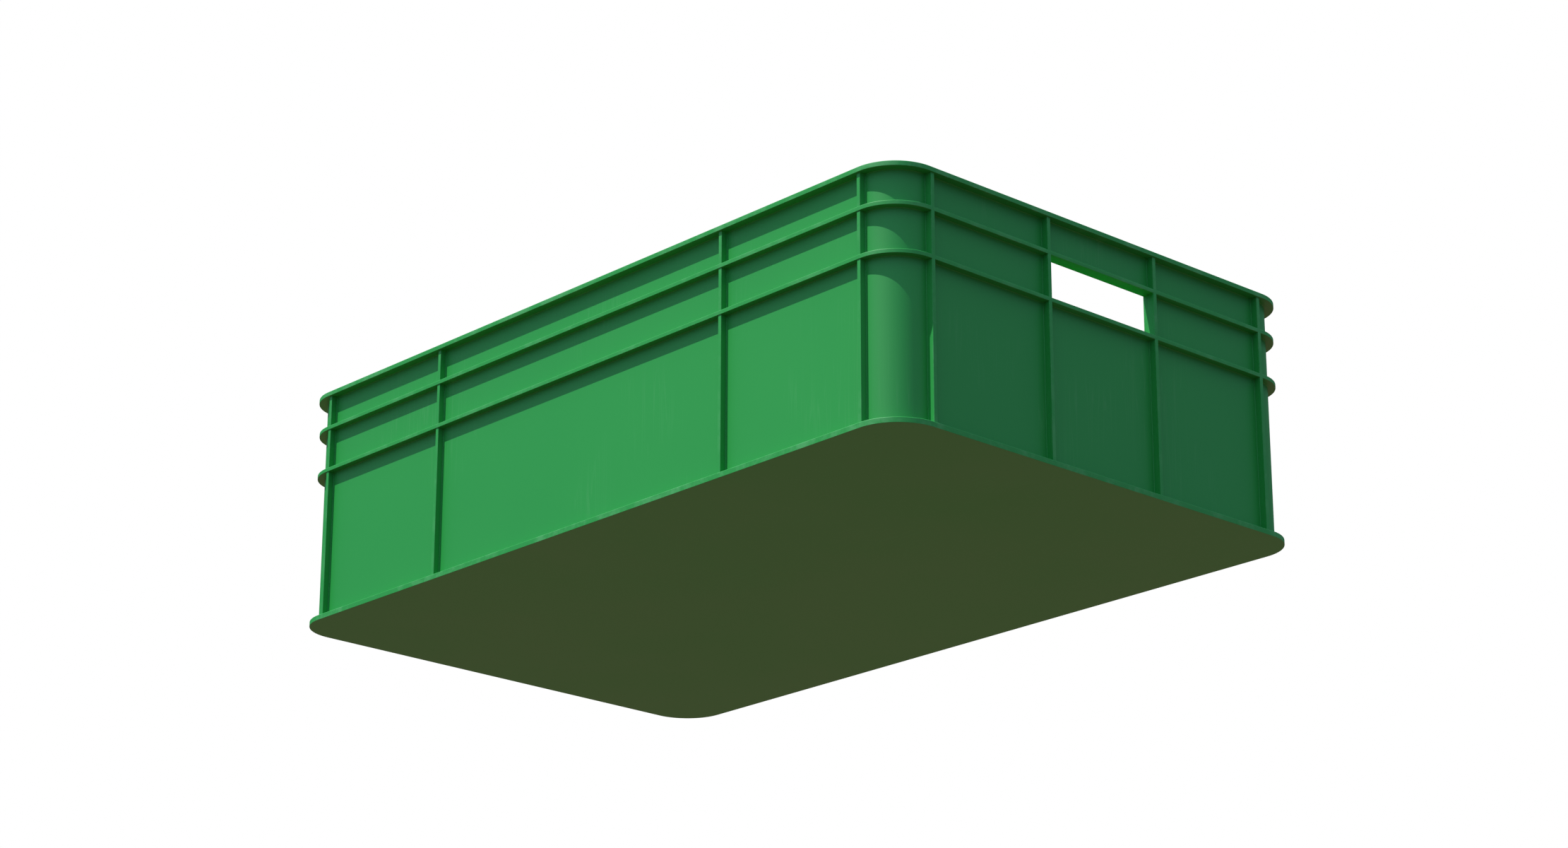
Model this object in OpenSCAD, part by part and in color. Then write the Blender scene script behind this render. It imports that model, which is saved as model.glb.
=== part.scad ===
// A stacking plastic crate: one polypropylene moulding, drawn as the named regions that it is made up of.
// Row frame: X along the long sides, Y across, Z up. The origin is the middle of the underside.
// The front is the long side at -Y and the right end is the short side at +X.

/* [Overall] */
// Length over the rim, along X
crate_length = 600; // [480:1:720]
// Width over the rim, along Y
crate_width = 369; // [300:1:480]
// Height from the underside to the top of the rim
crate_height = 167; // [120:1:260]
// Radius of the rim's rounded corners, seen from above
corner_radius = 30.8; // [20:0.1:44]

/* [Walls] */
// Thickness of the four side walls and the corners
wall_thickness = 4.1; // [2:0.1:4.5]
// How far the walls' outer faces stand in from the rim's edge
wall_recess = 6.2; // [4:0.1:9]
// Thickness of the floor and of the flange round its edge
floor_thickness = 3.6; // [2.5:0.1:6]

/* [Flanges] */
// Thickness of the top rim
rim_thickness = 3.2; // [2.2:0.1:6]
// Thickness of the two bands that run round the walls
band_thickness = 2.8; // [2.2:0.1:5]
// How far the two bands' edges stand in from the rim's edge
band_recess = 1.1; // [0:0.1:2]
// From the top of the rim down to the underside of the upper band
upper_band_drop = 28; // [20:0.1:34]
// From the top of the rim down to the underside of the lower band
lower_band_drop = 59.3; // [50:0.1:90]
// Radius of the rounding on the upper side of the flanges' outer edges
edge_radius = 0.5; // [0.3:0.1:1]

/* [Ribs] */
// Thickness of every upright rib
rib_thickness = 2.8; // [1.6:0.1:4]
// How far the front and back ribs' outer faces stand in from the bands' edges
side_rib_setback = 0.55; // [0:0.05:1.5]
// Distance from the crate's middle to the inner ribs of the long sides
side_rib_offset = 143.1; // [60:0.1:180]
// Gap between the outer ribs of a long side and the corner's curve
side_rib_corner_gap = 0; // [0:0.1:20]
// Gap between the outer ribs of a short end and the corner's curve
end_rib_corner_gap = 1.9; // [0:0.1:20]
// Width of the hand hole in each end, which lies between the two inner ribs
hand_hole_width = 94.6; // [80:0.1:140]

/* [Hidden] */
$fn = 96;

crate_green = [0.03, 0.31, 0.09];
// The wall shell: half sizes of its outer face, and the radii of its corners.
shell_half_x = crate_length / 2 - wall_recess;
shell_half_y = crate_width / 2 - wall_recess;
shell_radius = corner_radius - wall_recess;
// Half lengths of the straight stretches between the rounded corners.
straight_x = crate_length / 2 - corner_radius;
straight_y = crate_width / 2 - corner_radius;
// The heights that the ribs stand between.
rim_underside = crate_height - rim_thickness;
upper_band_height = crate_height - upper_band_drop;
lower_band_height = crate_height - lower_band_drop;
lower_band_top = lower_band_height + band_thickness;
upper_band_top = upper_band_height + band_thickness;
// The ribs: how far their middles are from the crate's middle, and how far they stand out from the wall.
side_outer_rib_offset = straight_x - side_rib_corner_gap - rib_thickness / 2;
end_outer_rib_offset = straight_y - end_rib_corner_gap - rib_thickness / 2;
side_rib_depth = wall_recess - band_recess - side_rib_setback;
end_rib_depth = wall_recess - band_recess;
end_rib_offset = hand_hole_width / 2 + rib_thickness / 2;

// Cross-section of a flange that stands out from the wall: x is outward, y is up.
// Its outer edge is rounded above and square below.
module flange_section(depth, thickness) {
    difference() {
        square([depth, thickness]);
        translate([depth - edge_radius, thickness - edge_radius])
            difference() {
                square(edge_radius + 1);
                circle(edge_radius);
            }
    }
}

// A flange that runs round all four walls, standing out from them by depth.
module flange(bottom, thickness, depth) {
    translate([0, 0, bottom]) {
        for (side = [0, 1]) rotate([0, 0, 180 * side]) {
            translate([-straight_x, -shell_half_y, 0]) rotate([90, 0, 90])
                linear_extrude(2 * straight_x)
                    mirror([1, 0]) flange_section(depth, thickness);
            translate([shell_half_x, straight_y, 0]) rotate([90, 0, 0])
                linear_extrude(2 * straight_y)
                    flange_section(depth, thickness);
            translate([straight_x, straight_y, 0]) rotate_extrude(angle = 90)
                translate([shell_radius, 0]) flange_section(depth, thickness);
            translate([straight_x, -straight_y, 0]) rotate([0, 0, -90]) rotate_extrude(angle = 90)
                translate([shell_radius, 0]) flange_section(depth, thickness);
        }
    }
}

module base_flange() color(crate_green) flange(0, floor_thickness, wall_recess);
module lower_band() color(crate_green)
    flange(lower_band_height, band_thickness, wall_recess - band_recess);
module upper_band() color(crate_green)
    flange(upper_band_height, band_thickness, wall_recess - band_recess);
module top_rim() color(crate_green) flange(rim_underside, rim_thickness, wall_recess);

// The floor reaches out to the walls' outer faces, and the walls stand on it.
module floor_panel() color(crate_green) {
    linear_extrude(floor_thickness) {
        square([2 * straight_x, 2 * shell_half_y], center = true);
        square([2 * shell_half_x, 2 * straight_y], center = true);
        for (x = [-straight_x, straight_x], y = [-straight_y, straight_y])
            translate([x, y]) circle(shell_radius);
    }
}

wall_height = crate_height - floor_thickness;

// A long wall at +Y, between two corners.
module long_wall() color(crate_green)
    translate([-straight_x, shell_half_y - wall_thickness, floor_thickness])
        cube([2 * straight_x, wall_thickness, wall_height]);

// A short wall at +X, with the hand hole between the inner ribs and between the two bands.
module end_wall() color(crate_green)
    difference() {
        translate([shell_half_x - wall_thickness, -straight_y, floor_thickness])
            cube([wall_thickness, 2 * straight_y, wall_height]);
        translate([shell_half_x - wall_thickness - 1, -hand_hole_width / 2, lower_band_top])
            cube([wall_thickness + 2, hand_hole_width, upper_band_height - lower_band_top]);
    }

// The quarter round corner at +X +Y.
module corner_wall() color(crate_green)
    translate([straight_x, straight_y, floor_thickness])
        rotate_extrude(angle = 90)
            translate([shell_radius - wall_thickness, 0]) square([wall_thickness, wall_height]);

module front_wall() mirror([0, 1, 0]) long_wall();
module back_wall() long_wall();
module left_end_wall() mirror([1, 0, 0]) end_wall();
module right_end_wall() end_wall();
module front_left_corner() rotate([0, 0, 180]) corner_wall();
module front_right_corner() mirror([0, 1, 0]) corner_wall();
module back_left_corner() mirror([1, 0, 0]) corner_wall();
module back_right_corner() corner_wall();

// One upright rib on the plane x = 0, standing out along +X from there.
// The two bands part it into three lengths.
module rib(depth) color(crate_green) {
    rib_length(depth, floor_thickness, lower_band_height);
    rib_length(depth, lower_band_top, upper_band_height);
    rib_length(depth, upper_band_top, rim_underside);
}
module rib_length(depth, from, to)
    translate([0, -rib_thickness / 2, from]) cube([depth, rib_thickness, to - from]);

// A rib of the front or back: side is -1 at the front and 1 at the back.
module side_rib(x, side) translate([x, side * shell_half_y, 0])
    rotate([0, 0, 90 * side]) rib(side_rib_depth);
// A rib of an end: side is -1 at the left and 1 at the right.
module end_rib(y, side) translate([side * shell_half_x, y, 0])
    rotate([0, 0, side > 0 ? 0 : 180]) rib(end_rib_depth);

module front_rib_1() side_rib(-side_outer_rib_offset, -1);
module front_rib_2() side_rib(-side_rib_offset, -1);
module front_rib_3() side_rib(side_rib_offset, -1);
module front_rib_4() side_rib(side_outer_rib_offset, -1);
module back_rib_1() side_rib(-side_outer_rib_offset, 1);
module back_rib_2() side_rib(-side_rib_offset, 1);
module back_rib_3() side_rib(side_rib_offset, 1);
module back_rib_4() side_rib(side_outer_rib_offset, 1);
module left_rib_1() end_rib(-end_outer_rib_offset, -1);
module left_rib_2() end_rib(-end_rib_offset, -1);
module left_rib_3() end_rib(end_rib_offset, -1);
module left_rib_4() end_rib(end_outer_rib_offset, -1);
module right_rib_1() end_rib(-end_outer_rib_offset, 1);
module right_rib_2() end_rib(-end_rib_offset, 1);
module right_rib_3() end_rib(end_rib_offset, 1);
module right_rib_4() end_rib(end_outer_rib_offset, 1);

floor_panel();
base_flange();
lower_band();
upper_band();
top_rim();
front_wall();
back_wall();
left_end_wall();
right_end_wall();
front_left_corner();
front_right_corner();
back_left_corner();
back_right_corner();
front_rib_1();
front_rib_2();
front_rib_3();
front_rib_4();
back_rib_1();
back_rib_2();
back_rib_3();
back_rib_4();
left_rib_1();
left_rib_2();
left_rib_3();
left_rib_4();
right_rib_1();
right_rib_2();
right_rib_3();
right_rib_4();
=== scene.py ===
import math
import bpy
from mathutils import Matrix, Vector


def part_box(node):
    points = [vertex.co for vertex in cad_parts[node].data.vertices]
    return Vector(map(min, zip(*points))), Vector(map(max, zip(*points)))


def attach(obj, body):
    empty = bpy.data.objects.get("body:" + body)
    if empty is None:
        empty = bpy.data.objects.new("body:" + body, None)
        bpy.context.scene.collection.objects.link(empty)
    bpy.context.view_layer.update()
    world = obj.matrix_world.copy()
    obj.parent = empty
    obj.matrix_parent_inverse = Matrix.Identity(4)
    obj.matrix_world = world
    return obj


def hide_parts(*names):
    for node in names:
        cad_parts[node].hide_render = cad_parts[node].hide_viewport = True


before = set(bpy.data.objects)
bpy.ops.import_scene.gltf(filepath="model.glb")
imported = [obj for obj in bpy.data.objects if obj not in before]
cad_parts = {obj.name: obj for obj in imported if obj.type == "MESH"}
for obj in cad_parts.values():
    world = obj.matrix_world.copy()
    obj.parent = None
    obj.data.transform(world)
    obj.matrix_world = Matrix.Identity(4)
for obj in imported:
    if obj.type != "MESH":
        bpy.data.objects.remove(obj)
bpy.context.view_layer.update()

scene = bpy.context.scene


# ---- Floor panel ------------------------------------------------------------------------------
# The flat bottom of the crate, one sheet of green polypropylene with rounded corners. It is
# injection moulded in one shot with all that stands on it, and a small cove joins it to the walls.

# Every flange and wall turns its corners about the same four centres.
corner_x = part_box("front_wall")[1].x
corner_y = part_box("right_end_wall")[1].y
wall_face_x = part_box("right_end_wall")[1].x
wall_face_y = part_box("back_wall")[1].y
wall_thickness = wall_face_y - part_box("back_wall")[0].y
corner_steps = 32
floor_cove = 0.002
crate_green = (0.0126, 0.308, 0.0436)
rubbed_green = (0.1, 0.42, 0.15)
merge_distance = 1e-6


def pick(kind, wanted):
    """Selects, in edit mode, only the faces or edges that wanted() says yes to."""
    bpy.ops.mesh.select_mode(type=kind)
    bpy.ops.mesh.select_all(action="DESELECT")
    bpy.ops.object.mode_set(mode="OBJECT")
    mesh = bpy.context.object.data
    if kind == "FACE":
        for face in mesh.polygons:
            face.select = bool(wanted(face.center, face.normal))
    elif kind == "EDGE":
        for edge in mesh.edges:
            edge.select = bool(wanted(*(mesh.vertices[i].co for i in edge.vertices)))
    else:
        for vertex in mesh.vertices:
            vertex.select = bool(wanted(vertex.co))
    bpy.ops.object.mode_set(mode="EDIT")


def near(a, b):
    return abs(a - b) < merge_distance


def start_box(name, low, high):
    """A block from low to high, left open in edit mode."""
    bpy.ops.object.select_all(action="DESELECT")
    bpy.ops.mesh.primitive_cube_add(size=1, location=(low + high) / 2, scale=high - low)
    block = bpy.context.object
    block.name = block.data.name = name
    bpy.ops.object.transform_apply(location=True, rotation=True, scale=True)
    bpy.ops.object.mode_set(mode="EDIT")
    return block


def round_uprights(radius):
    """Rounds the four upright edges of a block."""
    pick("EDGE", lambda a, b: near(a.x, b.x) and near(a.y, b.y))
    bpy.ops.mesh.bevel(offset=radius, segments=corner_steps, affect="EDGES")


def hollow_round(radius, steps, climbing):
    """Insets the selected face along a hollow quarter round: climbing from level to upright along
    the face's normal, or sinking from upright to level against it."""
    turns = [math.radians(90) * k / steps for k in range(steps + 1)]
    for before, after in zip(turns, turns[1:]):
        level = radius * (math.sin(after) - math.sin(before))
        upright = radius * (math.cos(before) - math.cos(after))
        if climbing:
            bpy.ops.mesh.inset(thickness=level, depth=upright)
        else:
            bpy.ops.mesh.inset(thickness=upright, depth=-level)


def finish_shape(piece):
    """Closes a piece's mesh: doubles merged, faces turned outwards, rounded parts shaded smooth."""
    smooth_angle = math.radians(40)
    bpy.ops.mesh.select_mode(type="VERT")
    bpy.ops.mesh.select_all(action="SELECT")
    bpy.ops.mesh.remove_doubles(threshold=merge_distance)
    bpy.ops.mesh.normals_make_consistent(inside=False)
    bpy.ops.object.mode_set(mode="OBJECT")
    bpy.ops.object.shade_smooth_by_angle(angle=smooth_angle)
    even = piece.modifiers.new("even normals", "WEIGHTED_NORMAL")
    even.keep_sharp = True
    bpy.ops.object.modifier_apply(modifier=even.name)


def fit(piece, material, *nodes):
    """Gives a piece its plastic and puts it in the place of its CAD nodes."""
    piece.data.materials.clear()
    piece.data.materials.append(material)
    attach(piece, "root")
    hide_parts(*nodes)


def maths(tree, operation, *values, clamp=False):
    """A Math node; each value is a number or another node's output."""
    node = tree.nodes.new("ShaderNodeMath")
    node.operation = operation
    node.use_clamp = clamp
    for socket, value in zip(node.inputs, values):
        if isinstance(value, (int, float)):
            socket.default_value = value
        else:
            tree.links.new(value, socket)
    return node.outputs["Value"]


def ramp(tree, value, low, high):
    """0 where value is at or below low, 1 where it is at or above high, and smooth between."""
    node = tree.nodes.new("ShaderNodeMapRange")
    node.interpolation_type = "SMOOTHSTEP"
    for name, end in (("Value", value), ("From Min", low), ("From Max", high)):
        if isinstance(end, (int, float)):
            node.inputs[name].default_value = end
        else:
            tree.links.new(end, node.inputs[name])
    return node.outputs["Result"]


def noise(tree, vector, scale, detail, roughness):
    """A Noise node's value, from 0 to 1 and mostly near the middle."""
    node = tree.nodes.new("ShaderNodeTexNoise")
    node.inputs["Scale"].default_value = scale
    node.inputs["Detail"].default_value = detail
    node.inputs["Roughness"].default_value = roughness
    tree.links.new(vector, node.inputs["Vector"])
    return node.outputs["Fac"]


def new_group(name, inputs, outputs):
    """A shader node group with its sockets made and its input and output nodes in place."""
    group = bpy.data.node_groups.new(name, "ShaderNodeTree")
    kinds = {"color": "NodeSocketColor", "number": "NodeSocketFloat", "vector": "NodeSocketVector"}
    for socket_name, kind, value in inputs:
        socket = group.interface.new_socket(socket_name, in_out="INPUT", socket_type=kinds[kind])
        socket.default_value = value
    for socket_name, kind in outputs:
        group.interface.new_socket(socket_name, in_out="OUTPUT", socket_type=kinds[kind])
    given = group.nodes.new("NodeGroupInput").outputs
    out = group.nodes.new("NodeGroupOutput").inputs
    place = group.nodes.new("ShaderNodeTexCoord").outputs["Object"]
    return group, given, out, place


def skin_group():
    """Moulded polypropylene: slow drifts of colour and gloss, and the fine grain of the mould."""
    group, given, out, place = new_group(
        "moulded_skin",
        (("Tint", "color", (0.0, 0.3, 0.05, 1)), ("Drift", "number", 0.05), ("Gloss", "number", 0.5)),
        (("Color", "color"), ("Roughness", "number"), ("Height", "number")))
    link = group.links.new
    cloud = noise(group, place, 7.0, 3.0, 0.55)
    speckle = noise(group, place, 420.0, 3.0, 0.6)
    grain = noise(group, place, 2400.0, 2.0, 0.6)
    # The tint's brightness goes up and down by Drift at most.
    swing = maths(group, "ADD", maths(group, "MULTIPLY_ADD", cloud, 2.0, -1.0),
                  maths(group, "MULTIPLY_ADD", speckle, 0.6, -0.3))
    tinted = group.nodes.new("ShaderNodeVectorMath")
    tinted.operation = "SCALE"
    link(given["Tint"], tinted.inputs[0])
    link(maths(group, "MULTIPLY_ADD", swing, given["Drift"], 1.0), tinted.inputs["Scale"])
    link(tinted.outputs["Vector"], out["Color"])
    link(maths(group, "MULTIPLY_ADD", swing, 0.05, given["Gloss"]), out["Roughness"])
    link(maths(group, "MULTIPLY_ADD", speckle, 0.35, grain), out["Height"])
    return group


def wear_group():
    """Use: an edge rubbed pale in patches, and faint scuffs that run one way. The edge is either a
    way out from the corners' centres, Edge Radius, or a height, Edge Height."""
    group, given, out, place = new_group(
        "handling_wear",
        (("Color", "color", (0.0, 0.3, 0.05, 1)), ("Roughness", "number", 0.4), ("Height", "number", 0.5),
         ("Edge Radius", "number", 1.0), ("Edge Height", "number", 1.0), ("Reach", "number", 0.0015),
         ("Edge Wear", "number", 0.2), ("Scuff Run", "vector", (260.0, 260.0, 9.0)),
         ("Scuffing", "number", 0.15)),
        (("Color", "color"), ("Roughness", "number"), ("Height", "number")))
    link = group.links.new
    split = group.nodes.new("ShaderNodeSeparateXYZ")
    link(place, split.inputs["Vector"])
    outside = []
    for axis, corner in (("X", corner_x), ("Y", corner_y)):
        beyond = maths(group, "SUBTRACT", maths(group, "ABSOLUTE", split.outputs[axis]), corner)
        beyond = maths(group, "MAXIMUM", beyond, 0.0)
        outside.append(maths(group, "MULTIPLY", beyond, beyond))
    way_out = maths(group, "SQRT", maths(group, "ADD", *outside))
    near_edge = []
    for measured, limit in ((way_out, given["Edge Radius"]), (split.outputs["Z"], given["Edge Height"])):
        start = maths(group, "SUBTRACT", limit, given["Reach"])
        near_edge.append(ramp(group, measured, start, limit))
    edge = maths(group, "MAXIMUM", *near_edge)
    patches = ramp(group, noise(group, place, 46.0, 5.0, 0.7), 0.45, 0.66)
    rubbed_edge = maths(group, "MULTIPLY", maths(group, "MULTIPLY", edge, patches), given["Edge Wear"])
    # Each scuff is where a noise stretched along the run passes through its middle value.
    stretched = group.nodes.new("ShaderNodeVectorMath")
    stretched.operation = "MULTIPLY"
    link(place, stretched.inputs[0])
    link(given["Scuff Run"], stretched.inputs[1])
    streak = noise(group, stretched.outputs["Vector"], 1.0, 1.0, 0.5)
    streak = maths(group, "ABSOLUTE", maths(group, "SUBTRACT", streak, 0.5))
    streak = maths(group, "SUBTRACT", 1.0, ramp(group, streak, 0.004, 0.03))
    where = ramp(group, noise(group, place, 11.0, 2.0, 0.5), 0.5, 0.72)
    scuff = maths(group, "MULTIPLY", maths(group, "MULTIPLY", streak, where), given["Scuffing"])
    worn = maths(group, "ADD", rubbed_edge, scuff, clamp=True)
    paler = group.nodes.new("ShaderNodeMix")
    paler.data_type = "RGBA"
    link(worn, paler.inputs["Factor"])
    link(given["Color"], paler.inputs["A"])
    paler.inputs["B"].default_value = (*rubbed_green, 1)
    link(paler.outputs["Result"], out["Color"])
    link(maths(group, "MULTIPLY_ADD", worn, 0.3, given["Roughness"]), out["Roughness"])
    link(maths(group, "MULTIPLY_ADD", worn, -1.5, given["Height"]), out["Height"])
    return group


moulded_skin = skin_group()
handling_wear = wear_group()


def plastic(name, drift, scuff_run, scuffing, edge_wear=0.0, edge_radius=1.0, edge_height=1.0,
            reach=0.0015):
    """A polypropylene finish: the shared skin and wear with this surface's own values. An edge radius
    or height of a metre is off the crate, so nothing is rubbed there."""
    gloss, grain_depth = 0.5, 0.00003
    material = bpy.data.materials.new(name)
    material.use_nodes = True
    tree = material.node_tree
    link = tree.links.new
    shader = tree.nodes["Principled BSDF"]
    shader.inputs["IOR"].default_value = 1.49
    skin = tree.nodes.new("ShaderNodeGroup")
    skin.node_tree = moulded_skin
    skin.inputs["Tint"].default_value = (*crate_green, 1)
    skin.inputs["Drift"].default_value = drift
    skin.inputs["Gloss"].default_value = gloss
    wear = tree.nodes.new("ShaderNodeGroup")
    wear.node_tree = handling_wear
    for socket in ("Color", "Roughness", "Height"):
        link(skin.outputs[socket], wear.inputs[socket])
    wear.inputs["Edge Radius"].default_value = edge_radius
    wear.inputs["Edge Height"].default_value = edge_height
    wear.inputs["Reach"].default_value = reach
    wear.inputs["Edge Wear"].default_value = edge_wear
    wear.inputs["Scuff Run"].default_value = scuff_run
    wear.inputs["Scuffing"].default_value = scuffing
    bump = tree.nodes.new("ShaderNodeBump")
    bump.inputs["Strength"].default_value = 0.5
    bump.inputs["Distance"].default_value = grain_depth
    link(wear.outputs["Color"], shader.inputs["Base Color"])
    link(wear.outputs["Roughness"], shader.inputs["Roughness"])
    link(wear.outputs["Height"], bump.inputs["Height"])
    link(bump.outputs["Normal"], shader.inputs["Normal"])
    return material


floor_plastic = plastic("floor_plastic", drift=0.045, scuff_run=(8, 240, 240), scuffing=0.2)

floor_panel = start_box("floor_panel_moulded", *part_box("floor_panel"))
round_uprights(wall_face_x - corner_x)
floor_low, floor_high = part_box("floor_panel")
pick("FACE", lambda centre, normal: near(centre.z, floor_high.z))
bpy.ops.mesh.inset(thickness=wall_thickness)
bpy.ops.mesh.extrude_region_move(TRANSFORM_OT_translate={"value": (0, 0, floor_cove)})
hollow_round(floor_cove, 6, climbing=False)
finish_shape(floor_panel)
fit(floor_panel, floor_plastic, "floor_panel")


# ---- Base flange, bands and top rim -----------------------------------------------------------
# Four flat flanges run right round the crate and stiffen it. The mould rounds their upper edges,
# leaves the lower ones almost square, and blends their roots into the walls.

upper_rounding = 0.0005
lower_rounding = 0.0002
root_fillet = 0.0003
rim_plastic = plastic("rim_plastic", drift=0.04, scuff_run=(12, 12, 240), scuffing=0.2,
                      edge_wear=0.45, edge_radius=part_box("top_rim")[1].x - corner_x)
band_plastic = plastic("band_plastic", drift=0.04, scuff_run=(12, 12, 240), scuffing=0.15,
                       edge_wear=0.28, edge_radius=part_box("upper_band")[1].x - corner_x)


def flange(node, material, fillet_above, fillet_below):
    """A ring that stands out from the walls' outer faces, as wide as its CAD node."""
    low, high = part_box(node)
    ring = start_box(node + "_moulded", low, high)
    round_uprights(high.x - corner_x)
    for height, rounding, steps in ((high.z, upper_rounding, 5), (low.z, lower_rounding, 2)):
        pick("EDGE", lambda a, b: near(a.z, height) and near(b.z, height))
        bpy.ops.mesh.bevel(offset=rounding, segments=steps, affect="EDGES")
    depth = high.y - wall_face_y
    for height, rounding, fillet in (
        (high.z, upper_rounding, fillet_above), (low.z, lower_rounding, fillet_below),
    ):
        pick("FACE", lambda centre, normal: near(centre.z, height))
        bpy.ops.mesh.inset(thickness=depth - rounding - fillet)
        if fillet:
            hollow_round(fillet, 4, climbing=True)
        bpy.ops.mesh.delete(type="ONLY_FACE")
    bpy.ops.mesh.select_mode(type="EDGE")
    bpy.ops.mesh.select_all(action="DESELECT")
    bpy.ops.mesh.select_non_manifold()
    bpy.ops.mesh.bridge_edge_loops()
    finish_shape(ring)
    fit(ring, material, node)
    return ring


flange("base_flange", rim_plastic, root_fillet, 0)
lower_band = flange("lower_band", band_plastic, root_fillet, root_fillet)
upper_band = flange("upper_band", band_plastic, root_fillet, root_fillet)
flange("top_rim", rim_plastic, 0, root_fillet)


# ---- Long walls -------------------------------------------------------------------------------
# The front and back walls are plain panels between the corners. Their tops are level with the rim,
# and the inner top edge is rounded so that it is kind to hands and goods.

mouth_rounding = 0.0012
wall_plastic = plastic("wall_plastic", drift=0.045, scuff_run=(240, 240, 8), scuffing=0.16,
                       edge_wear=0.3, edge_height=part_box("top_rim")[1].z, reach=0.002)


def inner_top_edge(a, b):
    """Says whether an edge is the top edge of a wall's inner face."""
    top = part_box("top_rim")[1].z
    inside_x = wall_face_x - wall_thickness + merge_distance
    inside_y = wall_face_y - wall_thickness + merge_distance
    return all(near(p.z, top) and abs(p.x) < inside_x and abs(p.y) < inside_y for p in (a, b))


for side in ("front_wall", "back_wall"):
    wall = start_box(side + "_moulded", *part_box(side))
    pick("EDGE", inner_top_edge)
    bpy.ops.mesh.bevel(offset=mouth_rounding, segments=5, affect="EDGES")
    finish_shape(wall)
    fit(wall, wall_plastic, side)


# ---- End walls with hand holes ----------------------------------------------------------------
# Each short wall has a hand hole as high as the gap between the two bands and as wide as the gap
# between the inner ribs, so a hand that lifts the crate bears on the upper band.

hole_edge_rounding = 0.0005
hole_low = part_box("lower_band")[1].z
hole_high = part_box("upper_band")[0].z
hole_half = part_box("right_rib_3")[0].y
inner_face_x = wall_face_x - wall_thickness


def in_hole(point):
    reach = merge_distance
    return abs(point.y) < hole_half + reach and hole_low - reach < point.z < hole_high + reach


def flatten(piece, wanted, axis, level):
    """Presses the vertices that wanted() says yes to onto the plane axis = level."""
    bpy.ops.object.select_all(action="DESELECT")
    piece.select_set(True)
    bpy.context.view_layer.objects.active = piece
    bpy.ops.object.mode_set(mode="EDIT")
    pick("VERT", wanted)
    squeeze, middle = [1, 1, 1], [0, 0, 0]
    squeeze[axis], middle[axis] = 0, level
    bpy.ops.transform.resize(value=squeeze, center_override=middle)
    bpy.ops.object.mode_set(mode="OBJECT")


# The hole's top and bottom run straight on into the bands, so the bands have no fillet along it.
# The fillet fades away inside the thickness of the ribs beside the hole.
fillet_end, fillet_start = 0.0008, 0.002
for band, edge, facing in ((lower_band, hole_low, 1), (upper_band, hole_high, -1)):
    bpy.ops.object.select_all(action="DESELECT")
    band.select_set(True)
    bpy.context.view_layer.objects.active = band
    bpy.ops.object.mode_set(mode="EDIT")
    for cut in (hole_half + fillet_end, hole_half + fillet_start):
        for side in (-1, 1):
            bpy.ops.mesh.select_all(action="SELECT")
            bpy.ops.mesh.bisect(plane_co=(0, side * cut, 0), plane_no=(0, 1, 0))
    bpy.ops.object.mode_set(mode="OBJECT")
    flatten(band, lambda p: abs(p.y) < hole_half + fillet_end + 0.0002
            and (p.z - edge) * facing > merge_distance, 2, edge)

for end in ("left_end_wall", "right_end_wall"):
    wall = start_box(end + "_moulded", *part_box(end))
    pick("EDGE", inner_top_edge)
    bpy.ops.mesh.bevel(offset=mouth_rounding, segments=5, affect="EDGES")
    for point, facing in (
        ((0, -hole_half, 0), (0, 1, 0)), ((0, hole_half, 0), (0, 1, 0)),
        ((0, 0, hole_low), (0, 0, 1)), ((0, 0, hole_high), (0, 0, 1)),
    ):
        bpy.ops.mesh.select_all(action="SELECT")
        bpy.ops.mesh.bisect(plane_co=point, plane_no=facing)
    pick("FACE", lambda centre, normal: abs(normal.x) > 0.9 and in_hole(centre))
    bpy.ops.mesh.bridge_edge_loops()
    pick("EDGE", lambda a, b: near(abs(a.x), inner_face_x) and near(abs(b.x), inner_face_x)
         and in_hole(a) and in_hole(b))
    bpy.ops.mesh.bevel(offset=hole_edge_rounding, segments=3, affect="EDGES")
    finish_shape(wall)
    fit(wall, wall_plastic, end)


# ---- Corners ----------------------------------------------------------------------------------
# Four quarter-round posts join the walls. All have the section of the walls, turned about the
# corner's centre, so one is modelled and the others are copies of it.

def place_copy(model, name, turn, centre):
    """A copy of a piece with a mesh of its own, turned about Z and moved to its centre."""
    piece = model.copy()
    piece.data = model.data.copy()
    piece.name = piece.data.name = name
    scene.collection.objects.link(piece)
    piece.data.transform(Matrix.Translation(centre) @ Matrix.Rotation(turn, 4, "Z"))
    return piece


wall_low, wall_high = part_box("front_wall")[0].z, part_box("front_wall")[1].z
bpy.ops.object.select_all(action="DESELECT")
bpy.ops.mesh.primitive_plane_add(
    size=1, rotation=(math.radians(90), 0, 0),
    location=(wall_face_x - corner_x - wall_thickness / 2, 0, (wall_low + wall_high) / 2))
corner_model = bpy.context.object
corner_model.scale = (wall_thickness, wall_high - wall_low, 1)
bpy.ops.object.transform_apply(location=True, rotation=True, scale=True)
bpy.ops.object.mode_set(mode="EDIT")
inner_radius = wall_face_x - corner_x - wall_thickness
pick("VERT", lambda point: near(point.z, wall_high) and near(point.x, inner_radius))
bpy.ops.mesh.bevel(offset=mouth_rounding, segments=5, affect="VERTICES")
bpy.ops.mesh.select_all(action="SELECT")
bpy.ops.mesh.spin(steps=corner_steps, angle=math.radians(90), center=(0, 0, 0), axis=(0, 0, 1))
finish_shape(corner_model)
for node, quarter, centre in (
    ("front_right_corner", 0, (corner_x, -corner_y, 0)),
    ("back_right_corner", 1, (corner_x, corner_y, 0)),
    ("back_left_corner", 2, (-corner_x, corner_y, 0)),
    ("front_left_corner", 3, (-corner_x, -corner_y, 0)),
):
    corner = place_copy(corner_model, node + "_moulded", math.radians(90 * quarter), centre)
    fit(corner, wall_plastic, node)
bpy.data.objects.remove(corner_model)


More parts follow.
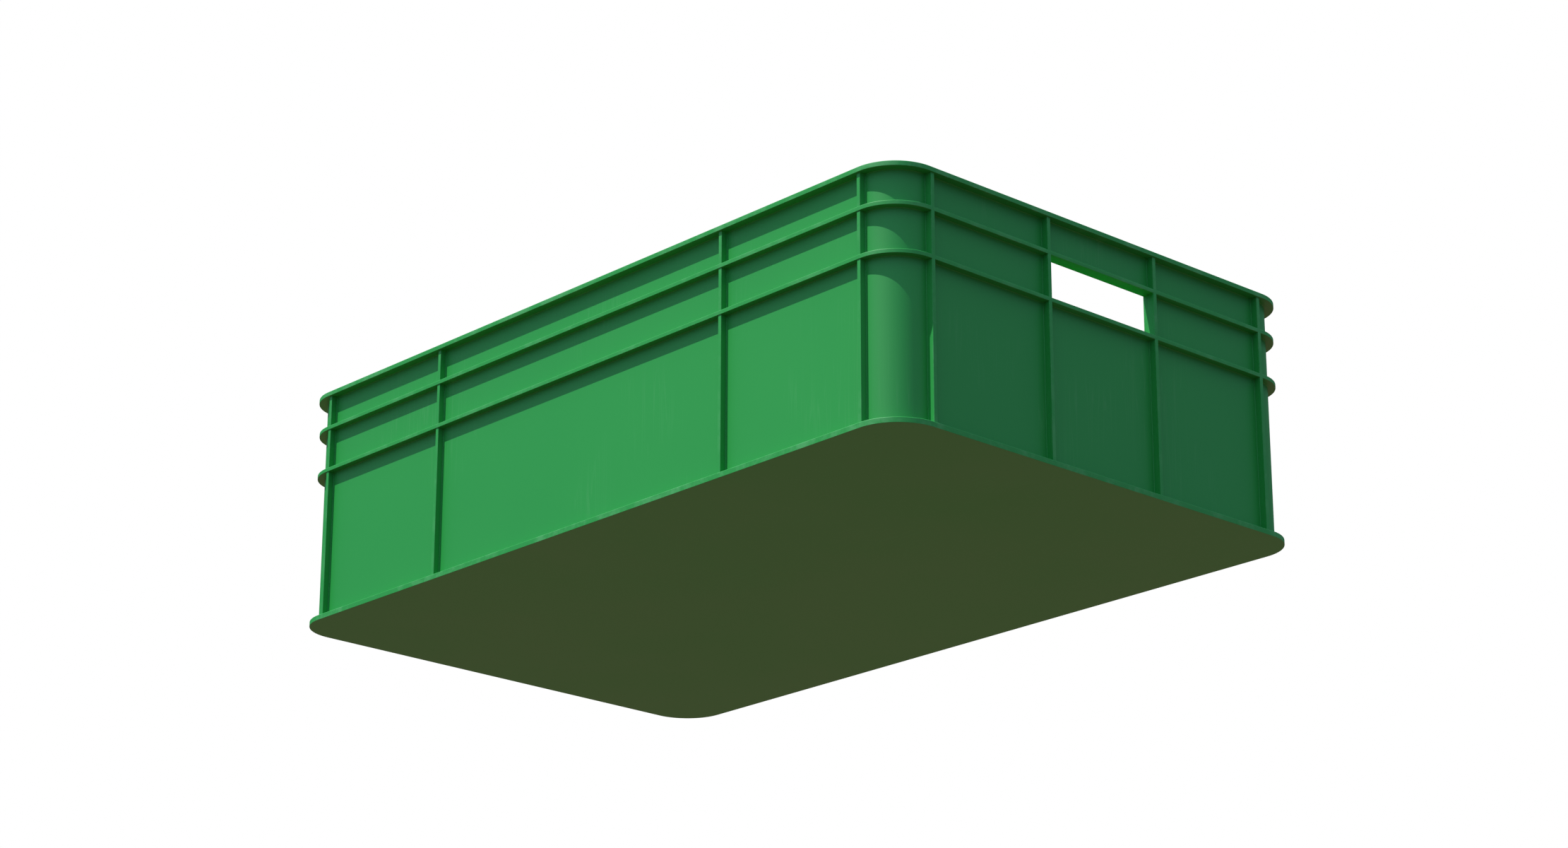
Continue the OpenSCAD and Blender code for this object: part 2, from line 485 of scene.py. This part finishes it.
# ---- Ribs -------------------------------------------------------------------------------------
# Sixteen upright ribs stiffen the walls, four to a side. The bands part each rib into three
# lengths. Its outer edges are slightly rounded and its root flares into the wall.

rib_edge_rounding = 0.0003
rib_plastic = plastic("rib_plastic", drift=0.04, scuff_run=(240, 240, 12), scuffing=0.12,
                      edge_wear=0.28, edge_radius=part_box("right_rib_1")[1].x - corner_x)


def rib_model(name, depth, thickness):
    """A rib along Z that stands out along +X from the plane x = 0."""
    lengths = []
    flanges = ("base_flange", "lower_band", "upper_band", "top_rim")
    for below, above in zip(flanges, flanges[1:]):
        # Both ends reach into the flanges' rounded edges, as the plastic does.
        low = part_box(below)[1].z - upper_rounding
        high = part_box(above)[0].z + lower_rounding
        bpy.ops.object.select_all(action="DESELECT")
        bpy.ops.mesh.primitive_plane_add(size=1, location=((depth + root_fillet) / 2, 0, low))
        bpy.context.object.scale = (depth - root_fillet, thickness, 1)
        bpy.ops.object.transform_apply(location=True, rotation=True, scale=True)
        bpy.ops.object.mode_set(mode="EDIT")
        pick("VERT", lambda point: near(point.x, depth))
        bpy.ops.mesh.bevel(offset=rib_edge_rounding, segments=3, affect="VERTICES")
        pick("EDGE", lambda a, b: near(a.x, root_fillet) and near(b.x, root_fillet))
        fillet_steps = 4
        turns = [math.radians(90) * k / fillet_steps for k in range(fillet_steps + 1)]
        for before, after in zip(turns, turns[1:]):
            inwards = root_fillet * (math.sin(after) - math.sin(before))
            half_before = thickness / 2 + root_fillet * (1 - math.cos(before))
            half_after = thickness / 2 + root_fillet * (1 - math.cos(after))
            bpy.ops.mesh.extrude_edges_move(TRANSFORM_OT_translate={"value": (-inwards, 0, 0)})
            bpy.ops.transform.resize(
                value=(1, half_after / half_before, 1), center_override=(0, 0, low))
        bpy.ops.mesh.select_mode(type="FACE")
        bpy.ops.mesh.select_all(action="SELECT")
        bpy.ops.mesh.extrude_region_move(TRANSFORM_OT_translate={"value": (0, 0, high - low)})
        bpy.ops.object.mode_set(mode="OBJECT")
        lengths.append(bpy.context.object)
    for length in lengths:
        length.select_set(True)
    bpy.ops.object.join()
    rib = bpy.context.object
    rib.name = name
    bpy.ops.object.mode_set(mode="EDIT")
    finish_shape(rib)
    return rib


for side, wall, turn in (("front", "front_wall", -90), ("back", "back_wall", 90),
                         ("right", "right_end_wall", 0), ("left", "left_end_wall", 180)):
    along = 0 if side in ("front", "back") else 1
    out = 1 - along
    low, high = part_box(side + "_rib_1")
    model = rib_model(side + "_rib_model", high[out] - low[out], high[along] - low[along])
    for number in range(1, 5):
        node = f"{side}_rib_{number}"
        low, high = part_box(node)
        centre = (low + high) / 2
        centre[out] = (wall_face_x, wall_face_y)[out] * (1 if centre[out] > 0 else -1)
        centre.z = 0
        rib = place_copy(model, node + "_moulded", math.radians(turn), centre)
        if side in ("left", "right") and number in (2, 3):
            # Beside the hand hole the rib's flank runs straight on into the hole.
            flatten(rib, lambda p: abs(p.y) < hole_half - merge_distance
                    and hole_low - upper_rounding - merge_distance < p.z
                    < hole_high + lower_rounding + merge_distance, 1, math.copysign(hole_half, centre.y))
        fit(rib, rib_plastic, node)
    bpy.data.objects.remove(model)


# ---- Studio -----------------------------------------------------------------------------------
# A pale plain floor just under the crate, a small bright key light high up on the front left, and
# a dome that is cool above and warm below. The camera looks up at the crate from below the floor,
# so the floor shows from above only, and the light from below reaches the crate's underside.

floor_gap = 0.0004
bpy.ops.object.select_all(action="DESELECT")
bpy.ops.mesh.primitive_plane_add(size=30, location=(0, 0, -floor_gap))
studio_floor = bpy.context.object
studio_floor.name = "studio_floor"
for rays in ("visible_diffuse", "visible_glossy", "visible_transmission", "visible_shadow"):
    setattr(studio_floor, rays, False)
pale = bpy.data.materials.new("pale_floor")
pale.use_nodes = True
pale_nodes, pale_link = pale.node_tree.nodes, pale.node_tree.links.new
pale_shader = pale_nodes["Principled BSDF"]
pale_shader.inputs["Base Color"].default_value = (0.58, 0.5, 0.49, 1)
pale_shader.inputs["Roughness"].default_value = 0.9
seen_from = pale_nodes.new("ShaderNodeNewGeometry")
clear = pale_nodes.new("ShaderNodeBsdfTransparent")
either = pale_nodes.new("ShaderNodeMixShader")
pale_link(seen_from.outputs["Backfacing"], either.inputs["Fac"])
pale_link(pale_shader.outputs["BSDF"], either.inputs[1])
pale_link(clear.outputs["BSDF"], either.inputs[2])
pale_link(either.outputs["Shader"], pale_nodes["Material Output"].inputs["Surface"])
studio_floor.data.materials.append(pale)

key_light = bpy.data.objects.new("key_light", bpy.data.lights.new("key_light", "SUN"))
scene.collection.objects.link(key_light)
key_light.rotation_euler = Vector((0.36, 1.0, -1.94)).to_track_quat("-Z", "Y").to_euler()
key_light.data.energy = 4.0
key_light.data.angle = math.radians(0.6)

# The dome: a cool soft light overhead and a larger one in front, a weak one on the right, and the
# warm light that a floor would throw up. Only the camera sees the white behind it.
overhead = (0.45, 0.84, 0.8)
in_front = (0.36, 0.56, 1.0)
on_the_right = (0.13, 0.06, 0.53)
from_below = (0.34, 0.172, 0.156)
dome = bpy.data.worlds.new("dome")
scene.world = dome
dome.use_nodes = True
dome_nodes, dome_link = dome.node_tree.nodes, dome.node_tree.links.new


def dome_light(colour, amount):
    """Colour times amount."""
    node = dome_nodes.new("ShaderNodeVectorMath")
    node.operation = "SCALE"
    node.inputs[0].default_value = colour
    dome_link(amount, node.inputs["Scale"])
    return node.outputs["Vector"]


direction = dome_nodes.new("ShaderNodeTexCoord")
split = dome_nodes.new("ShaderNodeSeparateXYZ")
dome_link(direction.outputs["Generated"], split.inputs["Vector"])
towards_x, towards_y, towards_z = split.outputs
sky = dome.node_tree
above = maths(sky, "MULTIPLY_ADD", towards_z, 20.0, 0.5, clamp=True)
height = maths(sky, "MAXIMUM", towards_z, 0.0)
lowness = maths(sky, "MULTIPLY", above, maths(sky, "SUBTRACT", 1.0, height))
frontness = maths(sky, "MAXIMUM", maths(sky, "MULTIPLY", towards_y, -1.0), 0.0)
rightness = maths(sky, "MAXIMUM", towards_x, 0.0)
total = None
for light in (
    dome_light(overhead, height),
    dome_light(in_front, maths(sky, "MULTIPLY", lowness, frontness)),
    dome_light(on_the_right, maths(sky, "MULTIPLY", lowness, rightness)),
    dome_light(from_below, maths(sky, "SUBTRACT", 1.0, above)),
):
    if total is None:
        total = light
        continue
    add = dome_nodes.new("ShaderNodeVectorMath")
    dome_link(total, add.inputs[0])
    dome_link(light, add.inputs[1])
    total = add.outputs["Vector"]
behind = dome_nodes.new("ShaderNodeLightPath")
seen = dome_nodes.new("ShaderNodeMix")
seen.data_type = "RGBA"
seen.inputs["B"].default_value = (1, 1, 1, 1)
dome_link(behind.outputs["Is Camera Ray"], seen.inputs["Factor"])
dome_link(total, seen.inputs["A"])
dome_link(seen.outputs["Result"], dome_nodes["Background"].inputs["Color"])
scene.view_settings.view_transform = "Standard"

# Where the camera stands: its bearing round the crate, its height angle, its lean and distance,
# and how far the middle of the view is from a point on the crate's axis.
bearing, height_angle, lean = (math.radians(angle) for angle in (47.255, -19.625, 0.021))
camera_distance = 2.500764
aim_height = 0.1
aside, upwards = -0.002905, -0.016423
focal_length = 84.494
back = Vector((math.sin(bearing) * math.cos(height_angle),
               -math.cos(bearing) * math.cos(height_angle), math.sin(height_angle)))
level = (-back).cross(Vector((0, 0, 1))).normalized()
plumb = level.cross(-back)
right = level * math.cos(lean) + plumb * math.sin(lean)
up = plumb * math.cos(lean) - level * math.sin(lean)
camera = bpy.data.objects.new("camera", bpy.data.cameras.new("camera"))
scene.collection.objects.link(camera)
camera.matrix_world = (
    Matrix.Translation(Vector((0, 0, aim_height)) + back * camera_distance - right * aside - up * upwards)
    @ Matrix((right, up, back)).transposed().to_4x4())
camera.data.sensor_fit = "HORIZONTAL"
camera.data.sensor_width = 36
camera.data.lens = focal_length
camera.data.clip_end = 50
scene.camera = camera
